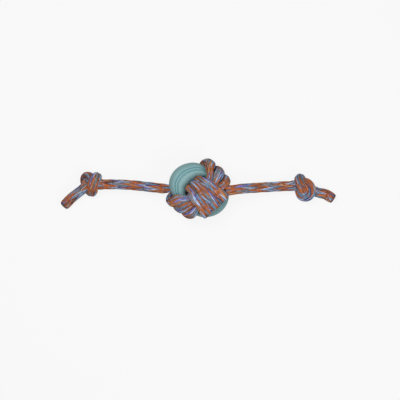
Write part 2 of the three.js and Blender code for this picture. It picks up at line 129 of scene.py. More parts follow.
# How far the first loop of the winding lies off the even lanes, and how the front passes fan out.
FIRST_LOBE = 3.4
SECOND_LOBE_SHARE = 0.25
LOBE_SPREAD = FIRST_LOBE / 3
LOBE_GROOVE = 1.8
FAN = 0.12
NEAR_PINCH = 0.34
NEAR_PULL = 1.2
NEAR_ROUND = 1.0
NEAR_BULGE = 1.6
BULGE_PLACE = 0.8
BULGE_REACH = 0.8
TIP_START = 0.3
FAR_PULL = 1.8
# How square a section is: 2 is an ellipse, more is fuller at its corners.
SQUARE_ROUND = 2.2
SQUARE_CROWN = 3.2

# Tight knots: the rope swells to fill what the route leaves, so the route is drawn in.
# A knot's route runs from the arm to the tail, in shares of its size from its centre.
KNOTTED = 15.3
SWELL_SHARE = 0.055
TAIL_LOOSE = 0.08
KNOT_DRAW = 0.78
KNOTS = {
    "left": dict(
        centre=(-149.2, 7.95, 16.9), size=10.8, neck=(-129.8, 6.65, 22.2), outlet=(-169.7, -5.65, 15.2),
        route=[
            (1.02, -0.10, 0.46), (0.45, 0.09, 0.43), (-0.10, 0.58, 0.31), (-0.66, 1.10, -0.10),
            (-1.10, 0.84, -0.65), (-1.02, 0.05, -1.10), (-0.65, -0.75, -1.19), (-0.30, -1.20, -0.78),
            (0, -1.30, -0.13), (0.10, -1.00, 0.52), (0.15, -0.60, 1.10), (0.30, -0.03, 1.40),
            (0.50, 0.57, 1.28), (0.65, 0.95, 0.75), (0.75, 1.00, 0.05), (0.60, 0.60, -0.45),
            (0.10, 0, -0.54), (-0.45, -0.30, -0.31),
        ],
        leaving=(-0.95, -0.54, -0.12), droop=1.0,
        tail=[(-178.3, -12.45, 11.2), (-187.1, -21.05, 7.2)],
        arm=[(-122.5, 6.75, 22.4), (-109.5, 6.55, 23), (-88.5, 5.15, 24.6), (-67.5, 2.85, 26.2), LEFT_EXIT],
    ),
    "right": dict(
        centre=(149.2, 3.25, 16), size=10.6, neck=(129.3, 4.3, 14.2), outlet=(168.6, -4.75, 12),
        route=[
            (-1.02, 0.32, -0.33), (-0.45, 0.40, -0.18), (0.15, 0.60, 0.12), (0.65, 0.30, 0.50),
            (0.98, -0.30, 0.72), (0.92, -0.98, 0.60), (0.35, -1.40, 0.30), (-0.34, -1.28, -0.08),
            (-0.65, -0.72, -0.50), (-0.55, -0.10, -1.10), (-0.50, 0.50, -1.14), (-0.58, 1.08, -0.85),
            (-0.70, 1.37, -0.30), (-0.80, 1.15, 0.35), (-0.68, 0.60, 0.75), (-0.36, 0, 0.74),
            (-0.05, -0.42, 0.38), (0.45, -0.45, -0.05),
        ],
        leaving=(0.98, -0.44, -0.26), droop=1.14,
        tail=[(179.3, -7.15, 9.2), (187.9, -12.1, 7.2)],
        arm=[(122.1, 4.2, 15.6), (100.5, 3.05, 22.8), (79.5, 1.75, 31.5), (60.5, 0.45, 39.2), RIGHT_EXIT],
    ),
}


def smooth(x):
    """Goes from 0 to 1 as x does, level at both ends."""
    x = min(1.0, max(0.0, x))
    return x * x * (3 - 2 * x)


def between(a, b, part):
    """What lies this part of the way from a to b."""
    return a + (b - a) * part


# A row holds a place, the direction across, and the section's width, thickness and squareness.
PLACE, ACROSS, SIZE = slice(0, 3), slice(3, 6), slice(6, 9)
WIDTH, THICKNESS, SQUARE = 6, 7, 8
CURVE_STEPS = 24


def through(points, closed=False, steps=CURVE_STEPS):
    """Points on one smooth line through given points."""
    points = [np.array(p, float) for p in points]
    if closed:
        row = [points[-1], *points, points[0], points[1]]
    else:
        row = [2 * points[0] - points[1], *points, 2 * points[-1] - points[-2]]
    out = []
    for p0, p1, p2, p3 in zip(row, row[1:], row[2:], row[3:]):
        gaps = ((p0, p1), (p1, p2), (p2, p3))
        d0, d1, d2 = (math.sqrt(max(np.linalg.norm(b - a), 1e-4)) for a, b in gaps)
        m1 = d1 * ((p1 - p0) / d0 - (p2 - p0) / (d0 + d1) + (p2 - p1) / d1)
        m2 = d1 * ((p2 - p1) / d1 - (p3 - p1) / (d1 + d2) + (p3 - p2) / d2)
        for i in range(steps):
            u = i / steps
            out.append(
                p1 * (2 * u**3 - 3 * u**2 + 1) + m1 * (u**3 - 2 * u**2 + u)
                + p2 * (3 * u**2 - 2 * u**3) + m2 * (u**3 - u**2)
            )
    if not closed:
        out.append(points[-1])
    return np.array(out)


def lengths(line):
    """How far along a line each of its points lies."""
    steps = np.linalg.norm(np.diff(line[:, PLACE], axis=0), axis=1)
    return np.concatenate([[0.0], np.cumsum(steps)])


def evenly(rows, step):
    """The rows again, at even steps along their line."""
    along = lengths(rows)
    count = max(2, round(along[-1] / step))
    at = np.linspace(0, along[-1], count + 1)
    return np.stack([np.interp(at, along, rows[:, k]) for k in range(rows.shape[1])], axis=1)


RING_FRAME = (
    Matrix.Translation(FIST_CENTRE)
    @ Matrix.Rotation(RING_HEADING, 4, "Z")
    @ Matrix.Rotation(RING_TILT, 4, "Y")
)
WINDING_FRAME = RING_FRAME @ Matrix.Rotation(WINDING_HEADING, 4, "Z")


def ring_section(angle):
    """Outer edge, inner edge and half height of the squeezed ring at an angle about its axis."""
    def oval(long, short):
        return 1 / math.hypot(math.cos(angle) / long, math.sin(angle) / short)

    pinch = smooth(max(0.0, 2 * abs(math.sin(angle - WINDING_HEADING)) - 1))
    return (
        oval(RING_LONG_OUTER, RING_SHORT_OUTER) - RING_PINCH * pinch,
        oval(RING_LONG_INNER, RING_SHORT_INNER),
        RING_HALF_HEIGHT - RING_PINCH_HEIGHT * pinch,
    )


CROSSING_TRIES = 12


def crossing(x, side):
    """Where a lane of the outer winding meets the ring's tube, and how high the tube is."""
    def find(edge):
        y = RING_SHORT_OUTER
        for _ in range(CROSSING_TRIES):
            section = ring_section(math.atan2(side * y, x) + WINDING_HEADING)
            y = math.sqrt(max(0.0, section[edge] ** 2 - x * x))
        return y

    outer = find(0)
    inner = min(find(1), outer * INNER_EDGE_SHARE)
    half = ring_section(math.atan2(side * outer, x) + WINDING_HEADING)[2]
    return (outer + inner) / 2, (outer - inner) / 2, half


# How far the middle of the rope lies off the ring's tube, and off its middle plane at the crown.
WRAP_OFFSET = WRAP_GAPS * SEAT_GAP + OUTER_THICKNESS_AT_RING / 2
WRAP_RISE = RING_HALF_HEIGHT - RING_PINCH_HEIGHT + RISE_GAPS * SEAT_GAP + OUTER_THICKNESS_AT_MIDDLE / 2


def lane_place(lane, within):
    """A place on a lane of the outer winding: -0.5 at the back middle, 0 at the front middle."""
    front = abs(within) < 0.25
    side = 1 if within < 0 else -1
    straight, reach, half = crossing(lane * OUTER_PITCH_AT_RING, side)
    arc = math.pi / 2 * ((reach + half) / 2 + WRAP_OFFSET)
    slack = LOWER_SLACK * max(0.0, -lane)
    if side > 0:
        slack = UPPER_MIDDLE_SLACK * max(0.0, 1 - max(0.0, lane)) + UPPER_SLACK * max(0.0, -lane)
    along = abs(within) * 2 * (2 * straight + 2 * arc)
    if along < straight:
        y, z = along, WRAP_RISE
    elif along < straight + 2 * arc:
        angle = math.pi / 2 - (along - straight) / arc * math.pi / 2
        y, z = straight + (reach + WRAP_OFFSET + slack) * math.cos(angle), WRAP_RISE * math.sin(angle)
    else:
        y, z = 2 * straight + 2 * arc - along, -WRAP_RISE
    narrow = smooth((NARROW_END - abs(y)) / (NARROW_END - NARROW_START))
    middle = OUTER_PITCH_AT_MIDDLE if front else BACK_PITCH_AT_MIDDLE
    pitch = between(OUTER_PITCH_AT_RING, middle, narrow)
    step = 0.0 if front else math.copysign(0.5, within) * narrow
    lean = BUNDLE_LEAN * narrow * (z / WRAP_RISE)
    apart = max(0.0, -lane) + SECOND_LOBE_SHARE * (abs(lane) < 0.5)
    first_lobe = -FIRST_LOBE * apart * max(0, side) * (1 - narrow)
    return np.array([(lane + step) * pitch + lean + first_lobe, side * y, z]), pitch, narrow


def narrowed(rows):
    """Where lanes run askew, the rope is narrower by the slope of its run."""
    along = np.gradient(rows[:, PLACE], axis=0)
    along /= np.linalg.norm(along, axis=1)[:, None]
    slope = np.sqrt(np.maximum(0.0, 1 - (along * rows[:, ACROSS]).sum(1) ** 2))
    rows[:, WIDTH] = (rows[:, WIDTH] + TOUCH) * slope - TOUCH
    return rows


# An across direction is read this share of a lane to each side.
LANE_PROBE = 0.2


def outer_rows():
    """Rows of the winding round the ring, from the left arm's end on, in the winding's own frame."""
    loops = []
    for part in np.arange(OUTER_START, OUTER_END, OUTER_STEP):
        turn = math.floor(part) + 0.5
        lane = turn - OUTER_TURNS / 2
        place, pitch, narrow = lane_place(lane, part - turn)
        across = lane_place(lane + LANE_PROBE, part - turn)[0] - lane_place(lane - LANE_PROBE, part - turn)[0]
        across /= np.linalg.norm(across)
        thick = between(OUTER_THICKNESS_AT_RING, OUTER_THICKNESS_AT_MIDDLE, narrow)
        spread = LOBE_SPREAD * (1 - narrow) * (lane < 0.5) * (part - turn < 0)
        groove = LOBE_GROOVE * (1 - narrow) * (part - turn < 0)
        loops.append([*place, *across, pitch + spread - groove - TOUCH, thick, SQUARE_ROUND])
    loops = np.array(loops)
    to_winding = WINDING_FRAME.inverted()
    face = Vector(LEFT_EXIT) + Vector((SEAT_REACH, 0, 0))
    inside = face + Vector((LEAD_RUN, 0, 0))
    shares = [np.array(s) * RING_LONG_OUTER for s in LEAD_SHARES]
    lead_points = [np.array(to_winding @ face), np.array(to_winding @ inside), *shares]
    curve = through([*lead_points, loops[0, PLACE], loops[4, PLACE]])[:-CURVE_STEPS]
    lead = []
    for place in curve[:-1]:
        grow = smooth((LEAD_TAPER_START + place[1]) / (LEAD_TAPER_START - NARROW_START))
        size = [between(a, b, grow) for a, b in zip((ROPE, ROPE, 2), loops[0, SIZE])]
        lead.append([*place, 1, 0, 0, *size])
    shares = [np.array(s) * RING_LONG_OUTER for s in TUCK_SHARES]
    curve = through([loops[-5, PLACE], loops[-1, PLACE], *shares])[CURVE_STEPS + 1:]
    tuck = []
    for i, place in enumerate(curve):
        grow = smooth((i + 1) / len(curve))
        across = np.array([1 - grow, grow, 0]) / math.hypot(1 - grow, grow)
        width = between(loops[-1, WIDTH], INNER_PITCH_IN_HOLE - TOUCH, grow)
        thick = between(loops[-1, THICKNESS], INNER_THICKNESS_IN_HOLE, grow)
        tuck.append([*place, *across, width, thick, SQUARE_ROUND])
    return np.concatenate([np.array(lead), narrowed(loops), np.array(tuck)])


# The bundle that the outer winding makes at the middle, and how the inner one clears it.
BUNDLE_HALF = BUNDLE_SHARE * OUTER_PITCH_AT_MIDDLE
BUNDLE_TOP = WRAP_RISE + OUTER_THICKNESS_AT_MIDDLE / 2
CROWN_RISE = BUNDLE_TOP + CROWN_GAPS * SEAT_GAP + INNER_THICKNESS_AT_CROWN / 2
SHOULDER = BUNDLE_HALF + SHOULDER_GAPS * SEAT_GAP + INNER_THICKNESS_IN_HOLE / 2
LEAN = BUNDLE_LEAN / WRAP_RISE


def quarter_out(spread):
    """A quarter of a loop's outline, from its leg in the hole to the middle of the crown."""
    shoulder = SHOULDER + spread
    return [
        (LEG_REACH, 0),
        (between(LEG_REACH, SHOULDER, 0.1), 0.17 * CROWN_RISE),
        (between(LEG_REACH, SHOULDER, 0.3), 0.286 * CROWN_RISE),
        (between(LEG_REACH, SHOULDER, 0.71), 0.41 * CROWN_RISE),
        (SHOULDER + SPREAD_LOW_SHARE * spread, 0.54 * CROWN_RISE),
        (shoulder, 0.76 * CROWN_RISE),
        (0.89 * shoulder, 0.93 * CROWN_RISE),
        (0.5 * shoulder, CROWN_RISE),
        (0, CROWN_RISE),
    ]


def inner_rows():
    """Rows of the winding through the ring, in the winding's own frame: X along the pass, Z up."""
    near = quarter_out(0)[-2:0:-1]
    half = quarter_out(SHOULDER_SPREAD) + [(-x, z) for x, z in near]
    front, back = half, [(-x, -z) for x, z in half]
    loop = through([(x, 0, z) for x, z in front + back], closed=True)
    loop = np.concatenate([loop, loop[:1]])
    along = lengths(loop)
    rows = []
    for part in np.arange(0, INNER_END, INNER_STEP):
        turn = math.floor(part)
        within = part - turn
        x, z = (np.interp(within * along[-1], along, loop[:, k]) for k in (0, 2))
        rise = min(1.0, abs(z) / CROWN_RISE)
        side = max(-1.0, min(1.0, x / SHOULDER * np.sign(z)))
        open_end = between(OPEN_LATE, OPEN_SOON, (1 + side) / 2)
        opened = smooth((rise - OPEN_START) / (open_end - OPEN_START))
        lane = turn - 1 if within < 0.5 else turn - 1 + smooth((within - 0.5) * 2)
        pitch = between(INNER_PITCH_IN_HOLE, INNER_PITCH_AT_CROWN, opened)
        tuck = LEG_TUCK * lane * lane * (1 - smooth((rise - TUCK_START) / (TUCK_END - TUCK_START)))
        x -= np.sign(x) * min(abs(x), tuck)
        fan, bulge = 1.0, 0.0
        # The passes on the upper face pull in at one end, bulge and fan out.
        if z > 0:
            near, far = opened * smooth(-x / SHOULDER), opened * smooth(x / SHOULDER)
            tip = opened * smooth((-x / SHOULDER - TIP_START) / (1 - TIP_START))
            bulge = opened * smooth(1 - abs(-x / SHOULDER - BULGE_PLACE) / BULGE_REACH)
            x += (NEAR_PULL + NEAR_ROUND * max(0.0, -lane)) * near - FAR_PULL * far
            fan += FAN * far - NEAR_PINCH * tip
        x += LEAN * z
        pitch *= fan
        y = lane * pitch + LEG_TURN * x * (1 - opened) - NEAR_BULGE * max(0.0, -lane) * bulge
        thick = between(INNER_THICKNESS_IN_HOLE, INNER_THICKNESS_AT_CROWN, opened)
        square = between(SQUARE_ROUND, SQUARE_CROWN, opened)
        rows.append([x, y, z, 0, 1, 0, pitch - TOUCH, thick, square])
    return narrowed(np.array(rows))


def placed(rows, matrix):
    """The rows moved from a frame of their own to the toy's."""
    turn = np.array(matrix.to_3x3())
    rows = rows.copy()
    rows[:, PLACE] = rows[:, PLACE] @ turn.T + np.array(matrix.translation)
    rows[:, ACROSS] = rows[:, ACROSS] @ turn.T
    return rows


def end_route(spec):
    """Points of one end from the tail's tip to the fist, and where its pieces meet."""
    centre = np.array(spec["centre"], float)

    def at(share, draw=KNOT_DRAW):
        x, y, z = share
        droop = spec["droop"] if y < 0 and draw < 1 else 1
        return centre + np.array((x, y * droop, z)) * spec["size"] * draw

    neck, outlet = np.array(spec["neck"], float), np.array(spec["outlet"], float)
    out_way = outlet - at(spec["leaving"], 1)
    out_way /= np.linalg.norm(out_way)
    face = outlet - SEAT_REACH * out_way
    before = face - LEAD_RUN * out_way
    tail = [np.array(p, float) for p in reversed(spec["tail"])]
    arm = [np.array(p, float) for p in spec["arm"]]
    points = [*tail, outlet, face, before, *[at(s) for s in reversed(spec["route"])], neck, *arm]
    return points, neck, outlet, face


def nearest(line, point):
    """The row of a line that lies nearest a point."""
    return int(np.linalg.norm(line[:, PLACE] - np.array(point, float), axis=1).argmin())


def with_frames(line, start_across):
    """Across directions carried along the line without twist, starting from its last point."""
    along = np.gradient(line, axis=0)
    along /= np.linalg.norm(along, axis=1)[:, None]
    across = np.zeros_like(line)
    current = np.array(start_across, float)
    for i in range(len(line) - 1, -1, -1):
        current = current - (current @ along[i]) * along[i]
        current /= np.linalg.norm(current)
        across[i] = current
    return across


# Rows lie this far apart.
STEP = 1.7
FREE_SIZE = (ROPE + PROUD, ROPE + PROUD, 2.0)
# How far the right arm runs on into the fist, and how far it dips there.
RIGHT_TUCK = ((5, 0.8), (10, 2.4))


def end_rows(side):
    """Rows of one end from the tail's tip to the fist, and the marks where pieces part."""
    spec = KNOTS[side]
    points, neck, outlet, face = end_route(spec)
    if side == "left":
        outer = placed(outer_rows(), WINDING_FRAME)
        free = through(points)[:-1]
        joined = np.concatenate([free, outer[:, PLACE]])
        start = with_frames(joined[:len(free) + 1], outer[0, ACROSS])[:-1]
        across = np.concatenate([start, outer[:, ACROSS]])
        size = np.concatenate([np.tile(FREE_SIZE, (len(free), 1)), outer[:, SIZE]])
    else:
        inward = np.array(spec["arm"][-1]) - np.array(spec["arm"][-2])
        inward /= np.linalg.norm(inward)
        for run, dip in RIGHT_TUCK:
            points.append(np.array(spec["arm"][-1]) + inward * run + np.array((0, 0, -dip)))
        joined = through(points)
        across = with_frames(joined, (0, 0, 1))
        size = np.tile(FREE_SIZE, (len(joined), 1))
    along = lengths(joined)
    knot_from, knot_to = along[nearest(joined, face)], along[nearest(joined, neck)]
    for i, s in enumerate(along):
        if knot_from < s < knot_to:
            u = (s - knot_from) / (knot_to - knot_from)
            size[i, :2] = between(FREE_SIZE[0], KNOTTED, smooth(min(u, 1 - u) / SWELL_SHARE))
    # Towards its cut end the rope is a little looser.
    tail_length = along[nearest(joined, outlet)]
    size[:, :2] *= (1 + TAIL_LOOSE * np.clip(1 - along / tail_length, 0, 1))[:, None]
    rows = evenly(np.concatenate([joined, across, size], axis=1), STEP)
    marks = {
        "outlet": nearest(rows, outlet),
        "neck": nearest(rows, neck),
        "exit": nearest(rows, spec["arm"][-1]),
    }
    return rows, marks


# The camera, straight above the toy.

# In metres: how wide the picture is at this height over the floor, and its middle.
FRAME_WIDTH = 0.560
FRAME_CENTRE = (0.0025, -0.01525)
FRAME_HEIGHT = 0.030
CLIP_END = 20

camera_data = bpy.data.cameras.new("camera")
camera_data.lens = 200
camera_data.sensor_width = 36
camera_data.clip_end = CLIP_END
camera = bpy.data.objects.new("camera", camera_data)
bpy.context.scene.collection.objects.link(camera)
bpy.context.scene.camera = camera
camera_rise = FRAME_WIDTH * camera_data.lens / camera_data.sensor_width
camera.location = (*FRAME_CENTRE, FRAME_HEIGHT + camera_rise)
camera.rotation_euler = (0, 0, 0)


# Materials.

def linear(hex_colour):
    """A colour from its usual six letters and digits, as linear values."""
    value = hex_colour.lstrip("#")
    out = []
    for i in (0, 2, 4):
        c = int(value[i:i + 2], 16) / 255
        out.append(c / 12.92 if c <= 0.04045 else ((c + 0.055) / 1.055) ** 2.4)
    return (*out, 1.0)


def new_group(name, inputs, outputs):
    """An empty node group with its sockets; gives its input and output nodes too."""
    group = bpy.data.node_groups.new(name, "ShaderNodeTree")
    for label, kind in inputs:
        group.interface.new_socket(label, in_out="INPUT", socket_type=kind)
    for label, kind in outputs:
        group.interface.new_socket(label, in_out="OUTPUT", socket_type=kind)
    into = group.nodes.new("NodeGroupInput")
    out = group.nodes.new("NodeGroupOutput")
    return group, into, out


def math_node(tree, operation, a, b=None):
    """One sum on numbers or on the outputs of other nodes."""
    node = tree.nodes.new("ShaderNodeMath")
    node.operation = operation
    for slot_index, value in ((0, a), (1, b)):
        if value is None:
            continue
        if isinstance(value, (int, float)):
            node.inputs[slot_index].default_value = value
        else:
            tree.links.new(value, node.inputs[slot_index])
    return node.outputs[0]


def mix_colour(tree, part, a, b):
    """A colour between two, by a part that is a number or an output of another node."""
    node = tree.nodes.new("ShaderNodeMix")
    node.data_type = "RGBA"
    for name, value in (("Factor", part), ("A", a), ("B", b)):
        named = [s for s in node.inputs if s.name == name and s.enabled]
        socket = next(s for s in named if s.type == "RGBA" or name == "Factor")
        if isinstance(value, (int, float, tuple)):
            socket.default_value = value
        else:
            tree.links.new(value, socket)
    return next(s for s in node.outputs if s.type == "RGBA" and s.enabled)


def swing(tree, noise, reach):
    """A noise about its middle, so that it lightens as much as it darkens."""
    return math_node(tree, "MULTIPLY", math_node(tree, "SUBTRACT", noise, 0.5), reach)


def noise_at(tree, place, scale, detail):
    """Noise over a place; the scale is a number or an output of another node."""
    node = tree.nodes.new("ShaderNodeTexNoise")
    node.inputs["Detail"].default_value = detail
    tree.links.new(place, node.inputs["Vector"])
    if isinstance(scale, float):
        node.inputs["Scale"].default_value = scale
    else:
        tree.links.new(scale, node.inputs["Scale"])
    return node.outputs["Fac"]


def weighed(tree, a, share_a, b, share_b):
    """Two values added, each by its share."""
    part_a = math_node(tree, "MULTIPLY", a, share_a)
    return math_node(tree, "ADD", part_a, math_node(tree, "MULTIPLY", b, share_b))


def brightened(tree, colour, factor):
    """A colour times a factor."""
    node = tree.nodes.new("ShaderNodeVectorMath")
    node.operation = "SCALE"
    tree.links.new(colour, node.inputs[0])
    tree.links.new(factor, node.inputs["Scale"])
    return node.outputs[0]


# A surface is this much rougher where its fine noise is highest.
ROUGHNESS_SPAN = 0.2
GRAIN_ROUGHNESS = 0.42
YARN_ROUGHNESS = 0.68


def roughness_of(tree, fine, least):
    return math_node(tree, "ADD", math_node(tree, "MULTIPLY", fine, ROUGHNESS_SPAN), least)


# The fine grain is this many times finer than the coarse one.
FINE_GRAIN = 14.0


def build_grain_group():
    """Fine grain of a moulded or melted surface: mottled shade and small bumps."""
    group, into, out = new_group(
        "surface_grain",
        [("Colour", "NodeSocketColor"), ("Scale", "NodeSocketFloat"), ("Mottle", "NodeSocketFloat")],
        [("Colour", "NodeSocketColor"), ("Height", "NodeSocketFloat"), ("Roughness", "NodeSocketFloat")],
    )
    place = group.nodes.new("ShaderNodeTexCoord").outputs["Object"]
    coarse = noise_at(group, place, into.outputs["Scale"], detail=4)
    fine_scale = math_node(group, "MULTIPLY", into.outputs["Scale"], FINE_GRAIN)
    fine = noise_at(group, place, fine_scale, detail=2)
    shade = math_node(group, "ADD", swing(group, coarse, into.outputs["Mottle"]), 1.0)
    group.links.new(brightened(group, into.outputs["Colour"], shade), out.inputs["Colour"])
    group.links.new(weighed(group, coarse, 0.5, fine, 0.5), out.inputs["Height"])
    group.links.new(roughness_of(group, fine, GRAIN_ROUGHNESS), out.inputs["Roughness"])
    return group


# Yarn: the twist's lines in radians, per metre along a strand and over its width.
TWIST_LINES = 620.0
TWIST_LEAN = 22.0
TWIST_PAINTED_SHADE = 0.22
TWIST_HEIGHT = 0.7
BASE_SHADE = 0.84
DARKEST = 0.25
MOTTLE_SCALE = 180.0
MOTTLE_SPAN = 0.55
FUZZ_SCALE = 2600.0
FUZZ_HEIGHT = 0.5
# Threads: how many noise cells lie across a strand and along a metre of it.
THREADS_ACROSS = 9.0
THREADS_ALONG = 75.0
THREAD_LAYERS = (0.0, 40.0)
THREAD_SPAN = 3.2
OTHER_DYE = "#84625f"
OTHER_DYE_SPAN = 4.0
OTHER_DYE_MOST = 0.6


def build_yarn_group():
    """Twisted yarn: the strand's own tint, its fine twist lines with painted shade in their grooves, and a
    little fuzz.
    """
    group, into, out = new_group(
        "twisted_yarn",
        [("Tint", "NodeSocketColor"), ("Place", "NodeSocketVector")],
        [("Colour", "NodeSocketColor"), ("Height", "NodeSocketFloat"), ("Roughness", "NodeSocketFloat")],
    )
    split = group.nodes.new("ShaderNodeSeparateXYZ")
    group.links.new(into.outputs["Place"], split.inputs[0])
    across, along = split.outputs[0], split.outputs[1]
    lines = weighed(group, along, TWIST_LINES, across, TWIST_LEAN)
    twist = math_node(group, "MULTIPLY", math_node(group, "ADD", math_node(group, "SINE", lines), 1.0), 0.5)
    place = group.nodes.new("ShaderNodeTexCoord").outputs["Object"]
    mottle = noise_at(group, place, MOTTLE_SCALE, detail=3)
    fuzz = noise_at(group, place, FUZZ_SCALE, detail=2)
    # Single threads show as streaks along the strand, paler, darker or of the other dye.
    streaks = []
    for layer in THREAD_LAYERS:
        thread = group.nodes.new("ShaderNodeCombineXYZ")
        group.links.new(math_node(group, "MULTIPLY", across, THREADS_ACROSS), thread.inputs[0])
        group.links.new(math_node(group, "MULTIPLY", along, THREADS_ALONG), thread.inputs[1])
        thread.inputs[2].default_value = layer
        streaks.append(noise_at(group, thread.outputs[0], scale=1.0, detail=1))
    other = math_node(group, "MAXIMUM", swing(group, streaks[1], OTHER_DYE_SPAN), 0.0)
    other = math_node(group, "MINIMUM", other, OTHER_DYE_MOST)
    dyed = mix_colour(group, other, into.outputs["Tint"], linear(OTHER_DYE))
    # Painted shade: the colour darkens where the twist lines dip, along with their bumps.
    shade = math_node(group, "ADD", math_node(group, "MULTIPLY", twist, TWIST_PAINTED_SHADE), BASE_SHADE)
    shade = math_node(group, "ADD", shade, swing(group, streaks[0], THREAD_SPAN))
    shade = math_node(group, "ADD", shade, swing(group, mottle, MOTTLE_SPAN))
    shade = math_node(group, "MAXIMUM", shade, DARKEST)
    group.links.new(brightened(group, dyed, shade), out.inputs["Colour"])
    group.links.new(weighed(group, twist, TWIST_HEIGHT, fuzz, FUZZ_HEIGHT), out.inputs["Height"])
    group.links.new(roughness_of(group, fuzz, YARN_ROUGHNESS), out.inputs["Roughness"])
    return group


GRAIN = build_grain_group()
YARN = build_yarn_group()


def bare_material(name):
    """A new material, its node tree and its shader."""
    material = bpy.data.materials.new(name)
    material.use_nodes = True
    tree = material.node_tree
    return material, tree, tree.nodes["Principled BSDF"]


def bumped(tree, shader, height, strength, distance):
    """Small bumps from a height, on the shader's normal."""
    bump = tree.nodes.new("ShaderNodeBump")
    bump.inputs["Strength"].default_value = strength
    bump.inputs["Distance"].default_value = distance
    tree.links.new(height, bump.inputs["Height"])
    tree.links.new(bump.outputs["Normal"], shader.inputs["Normal"])


def braided_rope_material():
    """Matt yarn, tinted strand by strand."""
    material, tree, shader = bare_material("braided_rope")
    yarn = tree.nodes.new("ShaderNodeGroup")
    yarn.node_tree = YARN
    tint = tree.nodes.new("ShaderNodeAttribute")
    tint.attribute_name = "strand_tint"
    place = tree.nodes.new("ShaderNodeUVMap")
    place.uv_map = "along_strand"
    tree.links.new(tint.outputs["Color"], yarn.inputs["Tint"])
    tree.links.new(place.outputs["UV"], yarn.inputs["Place"])
    tree.links.new(yarn.outputs["Colour"], shader.inputs["Base Color"])
    tree.links.new(yarn.outputs["Roughness"], shader.inputs["Roughness"])
    shader.inputs["Sheen Weight"].default_value = 0.05
    shader.inputs["Sheen Roughness"].default_value = 0.5
    shader.inputs["Specular IOR Level"].default_value = 0.35
    bumped(tree, shader, yarn.outputs["Height"], strength=0.5, distance=0.0003)
    return material


def grained_material(name, colour, scale, mottle, bump, specular=0.5):
    """A grained surface; its scale is per metre and the depth of its bumps in metres."""
    material, tree, shader = bare_material(name)
    grain = tree.nodes.new("ShaderNodeGroup")
    grain.node_tree = GRAIN
    grain.inputs["Scale"].default_value = scale
    grain.inputs["Mottle"].default_value = mottle
    grain.inputs["Colour"].default_value = linear(colour)
    tree.links.new(grain.outputs["Colour"], shader.inputs["Base Color"])
    tree.links.new(grain.outputs["Roughness"], shader.inputs["Roughness"])
    shader.inputs["Specular IOR Level"].default_value = specular
    bumped(tree, shader, grain.outputs["Height"], strength=0.4, distance=bump)
    return material, tree, grain


RUBBER = "#80a6a8"
# A darker copy of the rubber, painted as shade in the grooves.
RUBBER_GROOVE_PAINTED_SHADE = "#5e9097"


def ring_rubber_material():
    """Soft teal rubber, with painted shade in its grooves."""
    material, tree, grain = grained_material("ring_rubber", RUBBER, scale=60.0, mottle=0.16, bump=0.00025)
    groove = tree.nodes.new("ShaderNodeAttribute")
    groove.attribute_name = "groove"
    # Painted shade: the rubber is darker where the groove attribute marks a recess.
    colour = mix_colour(tree, groove.outputs["Fac"], linear(RUBBER), linear(RUBBER_GROOVE_PAINTED_SHADE))
    tree.links.new(colour, grain.inputs["Colour"])
    return material


ROPE_LOOK = braided_rope_material()
# The core's dark colour is painted shade, for the shade that falls between the strands.
CORE_PAINTED_SHADE_LOOK = grained_material("rope_core_painted_shade", "#2a1a22", scale=300.0, mottle=0.3, bump=0.0002, specular=0.1)[0]
RING_LOOK = ring_rubber_material()
SEAL_LOOK = grained_material("sealed_tip", "#5a3c38", scale=420.0, mottle=1.3, bump=0.0006)[0]


# Braided rope.

# Strands of each hand, and how far along the rope one takes for a full turn.
STRANDS = 12
LAY = 230.0
STRAND_HEIGHT = 2.8
WEAVE = 0.42
# A strand in thin rope is flatter, down to this share of its height.
FLATTEST = 0.35
# Where the weave of each hand starts, so that one is over where the other is under.
RIGHT_PHASE, LEFT_PHASE = 0.5, -2.5
# A length of one shade along a strand, and how far shades differ.
FLOAT_LENGTH = 9
FLOAT_SPAN = 0.18
OUTLINE_PARTS = 120
# A direction round the rope is read this share of the way round to each side.
ROUND_PROBE = 0.012
CORE_SIDES = 12
CORE_INSET = 0.62
# The core is darkened as painted shade between the strands.
CORE_PAINTED_SHADE = (0.4, 0.4, 0.4, 1)
# The rope's lowest threads lie just off the floor.
FLOOR_CLEARANCE = 0.00005

RUST, TAN, BROWN, PLUM, BLUE, SKY, PERI, NAVY, GREY, PINK = (
    linear(c) for c in (
        "#b25e27", "#c88f60", "#7c4228", "#4c2429",
        "#6788a8", "#a6b8da", "#696eb0", "#354379", "#7f8088", "#a8989a",
    )
)
# Two yarns lie side by side in each strand, and rust strands take turns with blue and grey ones.
RIGHT_HAND = [
    (RUST, RUST), (BLUE, SKY), (RUST, BROWN), (GREY, BLUE), (RUST, TAN), (SKY, SKY),
    (BROWN, RUST), (BLUE, BLUE), (RUST, RUST), (PERI, SKY), (RUST, TAN), (BLUE, GREY),
]
LEFT_HAND = [
    (RUST, BROWN), (PERI, PERI), (RUST, RUST), (PINK, GREY), (PLUM, BROWN), (BLUE, SKY),
    (RUST, RUST), (NAVY, BLUE), (BROWN, RUST), (SKY, BLUE), (RUST, RUST), (GREY, GREY),
]
# Half of a strand's width and height is 1: two round yarns with a crease between them.
STRAND_SECTION = np.array([
    (1.0, 0.0), (0.87, 0.7), (0.55, 0.96), (0.2, 0.68), (0.0, 0.34),
    (-0.2, 0.68), (-0.55, 0.96), (-0.87, 0.7), (-1.0, 0.0), (0.0, -0.5),
])
STRAND_CREST = 0.96
YARN_LOOK, PAINTED_SHADE_LOOK = 0, 1
# Painted shade: the core's tint is the plum, darkened.
CORE_PAINTED_SHADE_TINT = np.array(PLUM) * np.array(CORE_PAINTED_SHADE)
# Tints are times these; drawn tight over the ring, the rope looks a little paler and cooler.
PLAIN = (1.0, 1.0, 1.0)
STRETCHED = (0.99, 1.11, 1.12)
SLACK_LEFT = (0.96, 0.97, 0.92)
SLACK_RIGHT = (1.0, 1.03, 1.0)


